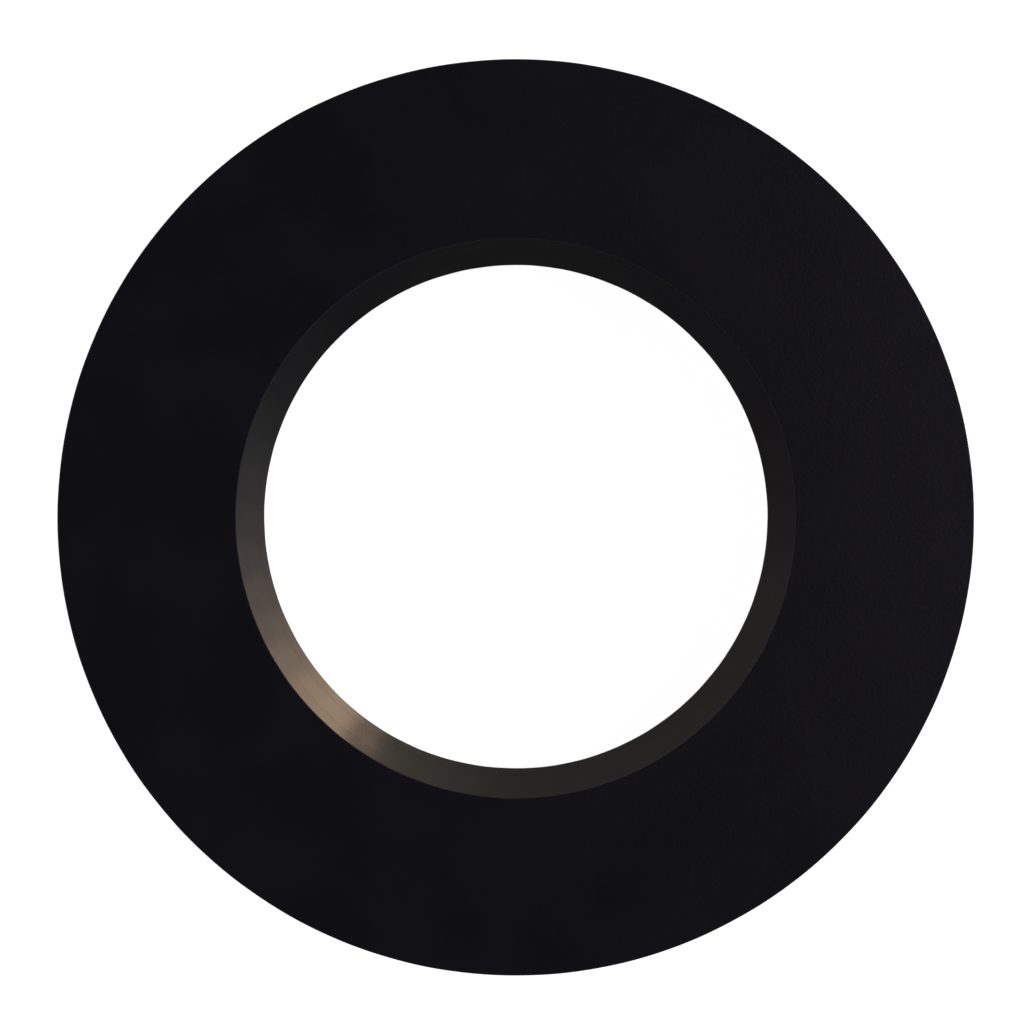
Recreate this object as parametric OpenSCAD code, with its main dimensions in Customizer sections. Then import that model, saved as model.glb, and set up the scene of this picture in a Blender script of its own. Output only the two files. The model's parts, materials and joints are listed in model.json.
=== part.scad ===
// Flexible seal ring for a toilet floor flange, 3 inch class.
// A flat ring of closed-cell rubber, laminated from three plies: two firm facings with a softer,
// crushable core between them. A thin film of adhesive joins each facing to the core.
// Origin: on the bore axis, in the plane of the underside that lies on the floor flange.
// +Z points up, towards the toilet.

/* [Ring] */
// Inner diameter, the clear waterway through the seal
bore_d = 76.2; // [70:0.1:90]
// Outer diameter
ring_d = 125; // [115:0.5:140]
// Height of the free ring, before the toilet's weight crushes it
ring_h = 25; // [20:0.5:32]

/* [Plies] */
// Height of each firm facing
facing_h = 7; // [5:0.5:8]
// Thickness of each film of adhesive
film_h = 0.2; // [0.1:0.05:0.4]
// How far each film stops short of the inner and outer walls
film_inset = 0.3; // [0.1:0.1:1]

/* [Edges] */
// Radius of the four outermost rims, two at the top and two at the underside
rim_r = 0.25; // [0.1:0.05:1]
// Radius of the ply edges that meet at a seam
seam_r = 0.15; // [0.05:0.05:0.3]

/* [Hidden] */
$fn = 180;
inner_r = bore_d / 2;
outer_r = ring_d / 2;
core_h = ring_h - 2 * facing_h - 2 * film_h;
lower_film_z = facing_h;
core_z = lower_film_z + film_h;
upper_film_z = core_z + core_h;
top_facing_z = upper_film_z + film_h;
facing_colour = [0.035, 0.035, 0.042];
core_colour = [0.06, 0.06, 0.062];
film_colour = [0.22, 0.21, 0.18];

// The sliver to cut from a square corner at [0, 0] to round it to radius r.
// The material lies on the +X and +Y sides of the corner.
module corner_waste(r) {
    difference() {
        translate([-1, -1])
            square(r + 1);
        translate([r, r])
            circle(r, $fn = 48);
    }
}

// Cross-section of one ply, from the bore wall to the outer wall, in the XY plane.
// low_r rounds the two lower edges and high_r rounds the two upper ones.
module ply_section(h, low_r, high_r) {
    difference() {
        translate([inner_r, 0])
            square([outer_r - inner_r, h]);
        translate([inner_r, 0])
            corner_waste(low_r);
        translate([outer_r, 0])
            mirror([1, 0])
                corner_waste(low_r);
        translate([inner_r, h])
            mirror([0, 1])
                corner_waste(high_r);
        translate([outer_r, h])
            mirror([1, 0])
                mirror([0, 1])
                    corner_waste(high_r);
    }
}

// One ply standing on height z.
module ply(z, h, low_r, high_r) {
    translate([0, 0, z])
        rotate_extrude()
            ply_section(h, low_r, high_r);
}

// One film of adhesive lying on height z, set back from both walls.
module bond_film(z) {
    translate([0, 0, z])
        difference() {
            cylinder(h = film_h, r = outer_r - film_inset);
            translate([0, 0, -1])
                cylinder(h = film_h + 2, r = inner_r + film_inset);
        }
}

// Firm ply that lies on the floor flange.
module bottom_facing() {
    color(facing_colour)
        ply(0, facing_h, rim_r, seam_r);
}

// Adhesive between the bottom facing and the core.
module lower_bond_film() {
    color(film_colour)
        bond_film(lower_film_z);
}

// Soft ply in the middle, which takes up the crush when the toilet is bolted down.
module foam_core() {
    color(core_colour)
        ply(core_z, core_h, seam_r, seam_r);
}

// Adhesive between the core and the top facing.
module upper_bond_film() {
    color(film_colour)
        bond_film(upper_film_z);
}

// Firm ply that the foot of the toilet presses on.
module top_facing() {
    color(facing_colour)
        ply(top_facing_z, facing_h, seam_r, rim_r);
}

bottom_facing();
lower_bond_film();
foam_core();
upper_bond_film();
top_facing();
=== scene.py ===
"""Visual model of a toilet flange seal ring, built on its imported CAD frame. Lengths are metres.

Each rubber ply is remade as a finely divided ring, with the slight unevenness of moulded and cut
rubber, and each film of adhesive as a thin ring with a ragged edge. They take the places of the
CAD nodes of the same names.
"""

import json
import math

import bpy
import numpy as np
from mathutils import Matrix, Vector

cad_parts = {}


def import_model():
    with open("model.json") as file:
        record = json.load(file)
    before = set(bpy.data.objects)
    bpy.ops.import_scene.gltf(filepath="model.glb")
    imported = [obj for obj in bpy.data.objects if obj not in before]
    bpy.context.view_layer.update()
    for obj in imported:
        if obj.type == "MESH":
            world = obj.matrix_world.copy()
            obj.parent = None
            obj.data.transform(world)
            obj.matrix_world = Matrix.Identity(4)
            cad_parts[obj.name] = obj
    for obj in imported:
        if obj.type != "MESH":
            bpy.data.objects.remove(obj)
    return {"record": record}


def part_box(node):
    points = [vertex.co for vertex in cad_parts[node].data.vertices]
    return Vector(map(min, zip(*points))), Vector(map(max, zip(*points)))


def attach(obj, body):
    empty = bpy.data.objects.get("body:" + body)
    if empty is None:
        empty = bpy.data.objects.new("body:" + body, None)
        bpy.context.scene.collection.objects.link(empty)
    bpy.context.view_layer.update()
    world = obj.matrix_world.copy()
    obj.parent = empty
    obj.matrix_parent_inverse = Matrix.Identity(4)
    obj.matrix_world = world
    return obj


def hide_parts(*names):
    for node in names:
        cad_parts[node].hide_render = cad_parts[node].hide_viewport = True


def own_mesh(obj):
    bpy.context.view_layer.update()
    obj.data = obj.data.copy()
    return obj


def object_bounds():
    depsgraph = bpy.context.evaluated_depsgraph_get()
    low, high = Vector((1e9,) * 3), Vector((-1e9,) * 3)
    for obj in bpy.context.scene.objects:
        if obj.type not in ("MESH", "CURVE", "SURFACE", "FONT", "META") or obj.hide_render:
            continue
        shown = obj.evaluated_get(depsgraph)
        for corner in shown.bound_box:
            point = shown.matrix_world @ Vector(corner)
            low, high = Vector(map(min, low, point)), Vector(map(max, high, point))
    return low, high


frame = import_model()
cad_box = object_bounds()

# ---------------------------------------------------------------- sizes, the main ones from the frame
MM = 0.001
ring_low, ring_high = cad_box
RING_R = (ring_high[0] - ring_low[0]) / 2
RING_H = ring_high[2]
MOUNTS = {m["name"]: m for m in frame["record"]["mounts"]}
BORE_R = MOUNTS["waterway"]["dims"]["r_mm"] * MM

RIM_R = 0.25 * MM  # rounding of the two outer rims
SEAM_R = 0.12 * MM  # rounding of the plies' outer edges at a seam
BORE_RIM_R = 0.12 * MM  # rounding of the bore's two rims
BORE_SEAM_R = 0.01 * MM  # rounding of the plies' edges at a seam in the bore, where the cut is sharp
WALL_SWAY = 0.06 * MM  # how far a wall strays from round
FACE_SAG = 0.05 * MM  # how far the open faces dip
WAIST = 0.28 * MM  # how far in die cutting leaves the foam's outer wall at half its height
BORE_WAIST = 0.03 * MM  # the same for its bore wall
PORES = 2400  # burst cells in the foam's outer wall
PORE_R = (0.35 * MM, 0.75 * MM)  # smallest and largest radius
PORE_DEPTH = 0.25  # as a share of the radius
PORE_REACH = 4  # steps round the ring on each side of a pore's middle, which is past its edge
FILM_INSET = (0.06 * MM, 0.22 * MM)  # nearest and furthest a film's outer edge is from the wall
BORE_FILM_INSET = (0.002 * MM, 0.01 * MM)  # the same for its edge in the bore
FILM_EDGE_R = 0.015 * MM  # rounding of a film's edges
WALL_DEPTH = 5 * MM  # how far into the rubber a wall's unevenness carries
EDGE_LOOP = 0.03 * MM  # from a rounding to the first points past it, which keep its shading to itself

# Waves to a turn in each unevenness. A wave shifts by up to WAVE_LEAN radians to a metre across it.
BORE_WAVES = (3, 7, 13, 29, 47)
SIDE_WAVES = (2, 5, 11, 23, 41)
FACE_WAVES = (2, 3, 5, 9, 17)
FILM_WAVES = (9, 21, 34, 55, 89)
WAVE_LEAN = 150

# Steps round the ring, then along a section's lower face, outer wall, upper face and bore wall.
FIRM_STEPS = (480, (30, 12, 30, 12))
FOAM_STEPS = (1200, (4, 30, 4, 10))
FILM_STEPS = (480, (6, 2, 6, 2))
BEND_STEPS = 5  # along each of the section's four roundings
UPRIGHT = 0.15  # a face whose normal rises or falls less than this is on a wall
SEED = 11


# ---------------------------------------------------------------- shape of the plies
def arc(centre, radius, start, end, steps):
    """Points on an arc from angle start to angle end in degrees, both ends included."""
    angles = np.radians(np.linspace(start, end, steps + 1))
    return [(centre[0] + radius * math.cos(a), centre[1] + radius * math.sin(a)) for a in angles]


def between(a, b, steps):
    """Points that divide the line from a to b, without its ends but with a point close to each."""
    edge = EDGE_LOOP / math.dist(a, b)
    share = [edge, *np.linspace(0, 1, steps + 1)[1:-1], 1 - edge]
    return [(a[0] + (b[0] - a[0]) * s, a[1] + (b[1] - a[1]) * s) for s in share]


def section(low, high, radii, steps):
    """A ring's closed section as (radius, height) points, anticlockwise from its lower inner corner.

    radii are the corners' roundings, and steps the divisions of the four straight sides after them.
    """
    a, b, c, d = radii
    bends = [
        arc((BORE_R + a, low + a), a, 180, 270, BEND_STEPS),
        arc((RING_R - b, low + b), b, 270, 360, BEND_STEPS),
        arc((RING_R - c, high - c), c, 0, 90, BEND_STEPS),
        arc((BORE_R + d, high - d), d, 90, 180, BEND_STEPS),
    ]
    points = []
    for i, bend in enumerate(bends):
        points += bend
        points += between(bend[-1], bends[(i + 1) % 4][0], steps[i])
    return np.array(points)


def grid(box, radii, steps):
    """The angles of a ring's steps and its section's radii and heights, shaped to be combined."""
    turns, divisions = steps
    profile = section(box[0][2], box[1][2], radii, divisions)
    angle = np.linspace(0, 2 * math.pi, turns, endpoint=False)[:, None]
    return angle, profile[None, :, 0], profile[None, :, 1]


def ripple(angle, along, waves, rng):
    """A smooth unevenness round the ring, from 0 to 1: a sum of sines, each with its waves to a turn."""
    total = np.zeros(np.broadcast(angle, along).shape)
    for n in waves:
        phase, lean = rng.uniform(0, 2 * math.pi), rng.uniform(-WAVE_LEAN, WAVE_LEAN)
        total += np.sin(n * angle + phase + lean * along) / len(waves)
    return (1 + total) / 2


def bore_sway(angle, height):
    """How far the bore wall strays from round. One cutter goes through every layer, so all stray as one."""
    return WALL_SWAY * ripple(angle, height, BORE_WAVES, np.random.default_rng(SEED))


def pores(angle, height, low, high, rng):
    """How far in the burst cells of cut foam take each point of the outer wall."""
    turns = len(angle)
    depth = np.zeros((turns, height.shape[1]))
    near = np.arange(-PORE_REACH, PORE_REACH + 1)
    for _ in range(PORES):
        at, level, size = rng.uniform(0, turns), rng.uniform(low, high), rng.uniform(*PORE_R)
        rows = (int(at) + near) % turns
        across = (int(at) + near - at) * 2 * math.pi * RING_R / turns
        off = np.hypot(across[:, None], height - level) / size
        depth[rows] = np.maximum(depth[rows], PORE_DEPTH * size * np.clip(1 - off**2, 0, 1))
    return depth


def swept(name, angle, radius, height):
    """A closed ring mesh from its points' angles, radii and heights, one row to a step round the ring."""
    turns, n = radius.shape
    points = np.stack([radius * np.cos(angle), radius * np.sin(angle), height], axis=-1)
    t, p = np.meshgrid(np.arange(turns), np.arange(n), indexing="ij")
    t2, p2 = (t + 1) % turns, (p + 1) % n
    faces = np.stack([t * n + p, t2 * n + p, t2 * n + p2, t * n + p2], axis=-1)
    mesh = bpy.data.meshes.new(name)
    mesh.from_pydata(points.reshape(-1, 3).tolist(), [], faces.reshape(-1, 4).tolist())
    mesh.shade_smooth()
    return mesh


def ply_mesh(name, box, radii, opened, foam, seed):
    """A rubber ply. Its walls stray a little from true round, and its open faces dip.

    opened is 1 or 0 for its lower and upper faces. Foam also has a waist, and pores outside.
    """
    rng = np.random.default_rng(seed)
    low, high = box[0][2], box[1][2]
    angle, radius, height = grid(box, radii, FOAM_STEPS if foam else FIRM_STEPS)
    share = (height - low) / (high - low)
    bore_depth = bore_sway(angle, height)
    side_depth = WALL_SWAY * ripple(angle, height, SIDE_WAVES, rng)
    dip = FACE_SAG * ripple(angle, radius, FACE_WAVES, rng)
    if foam:
        hollow = 4 * share * (1 - share)
        bore_depth = bore_depth + BORE_WAIST * hollow
        side_depth = side_depth + WAIST * hollow + pores(angle, height, low, high, rng)
    by_bore = np.clip(1 - (radius - BORE_R) / WALL_DEPTH, 0, 1) ** 2
    by_outside = np.clip(1 - (RING_R - radius) / WALL_DEPTH, 0, 1) ** 2
    strayed = radius + by_bore * bore_depth - by_outside * side_depth
    raised = height + opened[0] * dip * (1 - share) - opened[1] * dip * share
    return swept(name, angle, strayed, raised)


def film_mesh(name, box, seed):
    """A film of adhesive with ragged edges, just short of the walls."""
    rng = np.random.default_rng(seed)
    angle, radius, height = grid(box, (FILM_EDGE_R,) * 4, FILM_STEPS)
    ragged = ripple(angle, np.zeros_like(radius), FILM_WAVES, rng)
    by_bore = radius + bore_sway(angle, height) + np.interp(ragged, (0, 1), BORE_FILM_INSET)
    by_outside = radius - np.interp(ragged, (0, 1), FILM_INSET)
    middle = (BORE_R + RING_R) / 2
    edged = np.where(radius < middle, by_bore, by_outside)
    return swept(name, angle, edged, np.broadcast_to(height, edged.shape))


# ---------------------------------------------------------------- materials
def add(tree, kind, links=(), **inputs):
    """A shader node. links are (socket, output) pairs, and inputs are sockets set by name.

    An underscore stands for a space in a socket's name.
    """
    made = tree.nodes.new(kind)
    for key, value in inputs.items():
        made.inputs[key.replace("_", " ")].default_value = value
    for socket, output in links:
        tree.links.new(output, made.inputs[socket])
    return made


def grey(level):
    """A neutral colour."""
    return (level, level, level)


def ramp(tree, factor, stops):
    """A colour ramp from (position, colour) stops in rising order, the first at 0 and the last at 1."""
    made = add(tree, "ShaderNodeValToRGB", [("Fac", factor)])
    elements = made.color_ramp.elements
    for element, (position, colour) in zip(elements, (stops[0], stops[-1])):
        element.position, element.color = position, (*colour, 1)
    for position, colour in stops[1:-1]:
        elements.new(position).color = (*colour, 1)
    return made.outputs["Color"]


def soft_step(tree, factor, start, end, dark, light):
    """A colour that is dark while the factor is below start, and light once it is above end."""
    return ramp(tree, factor, [(0, dark), (start, dark), (end, light), (1, light)])


def mapped(tree, value, start, end, to=(0, 1)):
    """A value mapped from the span start to end onto the span in to, and held at its ends."""
    given = {"From_Min": start, "From_Max": end, "To_Min": to[0], "To_Max": to[1]}
    return add(tree, "ShaderNodeMapRange", [("Value", value)], **given).outputs["Result"]


def noise(tree, place, scale, detail):
    """Smooth noise from 0 to 1 at a place. scale is about how many patches a unit of length holds."""
    return add(tree, "ShaderNodeTexNoise", [("Vector", place)], Scale=scale, Detail=detail).outputs["Fac"]


def multiplied(tree, a, b):
    """The product of two colours."""
    made = add(tree, "ShaderNodeVectorMath", [(0, a), (1, b)])
    made.operation = "MULTIPLY"
    return made.outputs["Vector"]


def bumped(tree, height, depth, under=()):
    """A normal with bumps of a height from 0 to 1 times depth in metres, over the one under it."""
    links = [("Height", height)] + [("Normal", normal) for normal in under]
    return add(tree, "ShaderNodeBump", links, Distance=depth).outputs["Normal"]


# Sizes of the textures: how many to a metre, and how deep.
CELLS_PER_M = 1800.0
CELL_DEPTH = 0.22 * MM
LINES_PER_M = (40.0, 40.0, 3500.0)  # along X, Y and Z
LINE_DEPTH = 0.03 * MM
PATCHES_PER_M = 70.0


def foam_cells(tree, place, tint, normal):
    """Cut cells, sunk in, with painted shade that darkens each one towards its middle, where it sinks
    deepest.
    """
    cut = add(tree, "ShaderNodeTexVoronoi", [("Vector", place)], Scale=CELLS_PER_M, Randomness=1.0)
    wall = mapped(tree, cut.outputs["Distance"], 0.05, 0.6)
    # painted shade: the colour darkens towards each cell's middle, following the same depth as the bump
    shade = ramp(tree, wall, [(0, grey(0.35)), (1, grey(1.0))])
    return multiplied(tree, tint, shade), bumped(tree, wall, CELL_DEPTH, [normal])


def cut_lines(tree, place, tint, normal):
    """The fine lines that a cutter leaves round a wall."""
    stretched = add(tree, "ShaderNodeMapping", [("Vector", place)], Scale=LINES_PER_M).outputs["Vector"]
    lines = noise(tree, stretched, 1.0, 2.0)
    shade = soft_step(tree, lines, 0.35, 0.6, grey(0.55), grey(1.0))
    return multiplied(tree, tint, shade), bumped(tree, lines, LINE_DEPTH, [normal])


def rubber(name, dark, light, rough, specular, grain, depth, texture=None):
    """Rubber in soft patches from dark to light, with a fine grain of a size and depth in metres.

    rough is its roughness in the darkest and the lightest patches. texture adds its own colour and
    bumps: foam_cells, whose colour holds painted shade in its pits, cut_lines or nothing.
    """
    material = bpy.data.materials.new(name)
    material.use_nodes = True
    tree = material.node_tree
    shader = tree.nodes["Principled BSDF"]
    shader.inputs["Specular IOR Level"].default_value = specular
    place = add(tree, "ShaderNodeTexCoord").outputs["Object"]
    patches = noise(tree, place, PATCHES_PER_M, 4.0)
    tint = soft_step(tree, patches, 0.35, 0.65, dark, light)
    matt = mapped(tree, patches, 0.3, 0.7, rough)
    normal = bumped(tree, noise(tree, place, 1 / grain, 3.0), depth)
    if texture:
        tint, normal = texture(tree, place, tint, normal)
    tree.links.new(tint, shader.inputs["Base Color"])
    tree.links.new(matt, shader.inputs["Roughness"])
    tree.links.new(normal, shader.inputs["Normal"])
    return material


# The darkest and the lightest colour of each rubber, and of the adhesive.
SKIN_BLACK = ((0.0102, 0.0091, 0.0149), (0.0138, 0.0124, 0.0200))
BORE_BLACK = ((0.0080, 0.0076, 0.0072), (0.0110, 0.0105, 0.0097))
SIDE_BLACK = ((0.0080, 0.0078, 0.0080), (0.0260, 0.0253, 0.0250))
FOAM_BLACK = ((0.0120, 0.0117, 0.0117), (0.0270, 0.0263, 0.0258))
GLUE_BROWN = ((0.020, 0.018, 0.014), (0.040, 0.035, 0.026))

# After the colours come the roughness, the specular level, and the grain's size and depth.
skin = rubber("moulded_skin", *SKIN_BLACK, (0.50, 0.62), 0.25, 0.45 * MM, 0.05 * MM)
top_bore, core_bore, low_bore = (
    rubber(name, *BORE_BLACK, rough, specular, 0.6 * MM, 0.003 * MM)
    for name, rough, specular in (
        ("top_bore_wall", (0.17, 0.21), 0.59),
        ("core_bore_wall", (0.16, 0.20), 0.48),
        ("low_bore_wall", (0.17, 0.21), 0.34),
    )
)
side_wall = rubber("cut_side_wall", *SIDE_BLACK, (0.34, 0.46), 0.45, 0.5 * MM, 0.03 * MM, cut_lines)
foam_wall = rubber("cut_foam_wall", *FOAM_BLACK, (0.42, 0.56), 0.45, 0.3 * MM, 0.03 * MM, foam_cells)
glue = rubber("dried_adhesive", *GLUE_BROWN, (0.3, 0.5), 0.4, 0.5 * MM, 0.02 * MM)


# ---------------------------------------------------------------- pieces
def show(mesh, cad_node, body, materials):
    """Puts a mesh in its CAD node's place, riding on the node's body."""
    for material in materials:
        mesh.materials.append(material)
    piece = bpy.data.objects.new(mesh.name, mesh)
    bpy.context.scene.collection.objects.link(piece)
    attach(piece, body)
    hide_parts(cad_node)
    return piece


def finish_walls(mesh):
    """Material 0 on the faces and rounded edges, 1 on the bore wall and 2 on the outer wall."""
    for polygon in mesh.polygons:
        outward = polygon.normal.x * polygon.center.x + polygon.normal.y * polygon.center.y
        upright = abs(polygon.normal.z) < UPRIGHT
        polygon.material_index = (1 if outward < 0 else 2) if upright else 0


def ply(cad_node, body, shape, materials, seed):
    """A rubber ply. shape is ply_mesh's radii, opened and foam. The materials go as finish_walls says."""
    mesh = ply_mesh(cad_node + "_rubber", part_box(cad_node), *shape, seed)
    finish_walls(mesh)
    return show(mesh, cad_node, body, materials)


LOW_SHAPE = ((BORE_RIM_R, RIM_R, SEAM_R, BORE_SEAM_R), (1, 0), False)
CORE_SHAPE = ((BORE_SEAM_R, SEAM_R, SEAM_R, BORE_SEAM_R), (0, 0), True)
TOP_SHAPE = ((BORE_SEAM_R, SEAM_R, RIM_R, BORE_RIM_R), (0, 1), False)
ply("bottom_facing", "base", LOW_SHAPE, (skin, low_bore, side_wall), SEED)
ply("top_facing", "top", TOP_SHAPE, (skin, top_bore, side_wall), SEED + 1)
core = ply("foam_core", "base", CORE_SHAPE, (foam_wall, core_bore, foam_wall), SEED + 2)
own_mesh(core)
for cad_node, body, seed in (
    ("lower_bond_film", "base", SEED + 3),
    ("upper_bond_film", "top", SEED + 4),
):
    film = film_mesh(cad_node + "_glue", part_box(cad_node), seed)
    finish_walls(film)
    show(film, cad_node, body, (glue, core_bore, glue))

# ---------------------------------------------------------------- stage, light and camera
# What the gloss of each part of the bore wall picks up, by degrees round it, anticlockwise from +X.
GLOW = [
    (0, (0.025, 0.022, 0.024)),
    (25, (0.0145, 0.0125, 0.015)),
    (55, (0.012, 0.012, 0.0145)),
    (90, (0.014, 0.0145, 0.016)),
    (130, (0.012, 0.0125, 0.015)),
    (150, (0.026, 0.025, 0.028)),
    (162, (0.052, 0.051, 0.054)),
    (180, (0.103, 0.094, 0.092)),
    (200, (0.25, 0.20, 0.17)),
    (212, (0.51, 0.38, 0.28)),
    (220, (0.77, 0.55, 0.39)),
    (229, (0.95, 0.67, 0.46)),
    (232, (0.24, 0.19, 0.15)),
    (242, (0.089, 0.081, 0.069)),
    (253, (0.084, 0.075, 0.066)),
    (268, (0.048, 0.046, 0.040)),
    (290, (0.044, 0.041, 0.038)),
    (345, (0.039, 0.035, 0.034)),
    (360, (0.025, 0.022, 0.024)),
]
# How bright the surroundings are at eye level, by degrees anticlockwise from -X: four soft windows,
# two of them brighter.
WINDOWS = [
    (0, 0.8),
    (30, 1.0),
    (75, 0.6),
    (130, 1.0),
    (170, 0.6),
    (225, 2.0),
    (265, 0.6),
    (310, 2.0),
    (345, 0.6),
    (360, 0.8),
]
# By the sine of the angle above the horizon: how much of the windows shows, how bright the ceiling
# is, and where the glow starts and is full.
WINDOW_HEIGHT = [(-1, 0.0), (-0.82, 0.0), (-0.65, 1.0), (0.10, 1.0), (0.40, 0.0), (1, 0.0)]
CEILING = [(-1, 0.0), (0.0, 0.0), (0.3, 0.05), (1, 0.05)]
GLOW_HEIGHT = (-0.82, -0.93)
FLOOR_REACH = 6.0  # from the middle of the floor to its sides
FLOOR_LOOK = {
    "Base Color": (0.85, 0.85, 0.85, 1),
    "Roughness": 0.9,
    "Specular IOR Level": 0.1,
    "Emission Color": (1, 1, 1, 1),
    "Emission Strength": 0.96,
}
LIGHT_SIDE = 0.45
LIGHTS = [  # name, place, watts and colour
    ("key", (0.50, 0.08, 0.43), 0.92, (1.0, 0.92, 0.97)),
    ("fill", (-0.50, -0.10, 0.43), 0.10, (0.93, 1.0, 1.0)),
]
HALF_VIEW = 70.45 * MM  # what half the picture's width spans at the ring's upper face
EYE_HEIGHT = 219 * MM  # from that face up to the camera
EYE = (0.10 * MM, 1.95 * MM)  # X and Y of the camera
AIM = (0.23 * MM, 0.13 * MM)  # X and Y of the point of that face in the middle of the picture
SENSOR_W = 36  # millimetres, as the camera's lens is


def world():
    """A pale studio to the eye. Reflections see a dim ceiling, soft windows and a warm glow straight below.

    The floor hides what is below from everything but glossy reflections.
    """
    made = bpy.data.worlds.new("studio")
    made.use_nodes = True
    tree = made.node_tree
    way = add(tree, "ShaderNodeTexCoord").outputs["Generated"]
    x, y, z = add(tree, "ShaderNodeSeparateXYZ", [("Vector", way)]).outputs
    compass = add(tree, "ShaderNodeMath", [(0, y), (1, x)])
    compass.operation = "ARCTAN2"
    # This puts -X at 0 and +X at 0.5. A bore wall mirrors what is low down across the bore from it, so
    # GLOW's degrees are the wall's own.
    turn = mapped(tree, compass.outputs["Value"], -math.pi, math.pi)
    glow = ramp(tree, turn, [(degrees / 360, colour) for degrees, colour in GLOW])
    near_nadir = mapped(tree, z, *GLOW_HEIGHT)
    windows = ramp(tree, turn, [(degrees / 360, grey(level)) for degrees, level in WINDOWS])
    rise = mapped(tree, z, -1, 1)
    shown, ceiling = (
        ramp(tree, rise, [((sine + 1) / 2, grey(level)) for sine, level in levels])
        for levels in (WINDOW_HEIGHT, CEILING)
    )
    lights = [
        add(tree, "ShaderNodeBackground", [("Color", glow), ("Strength", near_nadir)]),
        add(tree, "ShaderNodeBackground", [("Color", windows), ("Strength", shown)]),
        add(tree, "ShaderNodeBackground", [("Color", ceiling)]),
    ]
    total = lights[0]
    for light in lights[1:]:
        total = add(tree, "ShaderNodeAddShader", [(0, total.outputs[0]), (1, light.outputs[0])])
    pale = add(tree, "ShaderNodeBackground", Color=(*grey(1), 1))
    to_eye = add(tree, "ShaderNodeLightPath").outputs["Is Camera Ray"]
    seen = add(tree, "ShaderNodeMixShader", [(0, to_eye), (1, total.outputs[0]), (2, pale.outputs[0])])
    tree.links.new(seen.outputs[0], tree.nodes["World Output"].inputs["Surface"])
    bpy.context.scene.world = made


def floor():
    """A plain white floor, lit a little from within as a light table is, and kept out of reflections."""
    ways = ((-1, -1), (1, -1), (1, 1), (-1, 1))
    mesh = bpy.data.meshes.new("floor")
    mesh.from_pydata([(x * FLOOR_REACH, y * FLOOR_REACH, 0) for x, y in ways], [], [(0, 1, 2, 3)])
    plane = bpy.data.objects.new("floor", mesh)
    bpy.context.scene.collection.objects.link(plane)
    white = bpy.data.materials.new("floor_white")
    white.use_nodes = True
    shader = white.node_tree.nodes["Principled BSDF"]
    for socket, value in FLOOR_LOOK.items():
        shader.inputs[socket].default_value = value
    mesh.materials.append(white)
    plane.visible_glossy = False


def soft_light(name, place, energy, colour):
    """A large square light that faces the ring."""
    lamp = bpy.data.lights.new(name, "AREA")
    lamp.size = LIGHT_SIDE
    lamp.energy = energy
    lamp.color = colour
    holder = bpy.data.objects.new(name, lamp)
    bpy.context.scene.collection.objects.link(holder)
    holder.location = place
    holder.rotation_euler = (-holder.location).to_track_quat("-Z", "Y").to_euler()


def camera():
    """Close above the ring, looking down, with +Y at the top of the picture."""
    aim = Vector((*AIM, RING_H))
    place = Vector((*EYE, RING_H + EYE_HEIGHT))
    data = bpy.data.cameras.new("camera")
    data.sensor_width = SENSOR_W
    data.lens = data.sensor_width / 2 * EYE_HEIGHT / HALF_VIEW
    data.clip_start = 10 * MM
    holder = bpy.data.objects.new("camera", data)
    bpy.context.scene.collection.objects.link(holder)
    back = (place - aim).normalized()
    right = Vector((0, 1, 0)).cross(back).normalized()
    holder.location = place
    holder.rotation_euler = Matrix((right, back.cross(right), back)).transposed().to_euler()
    bpy.context.scene.camera = holder


world()
floor()
for light in LIGHTS:
    soft_light(*light)
camera()
bpy.context.scene.view_settings.view_transform = "Standard"
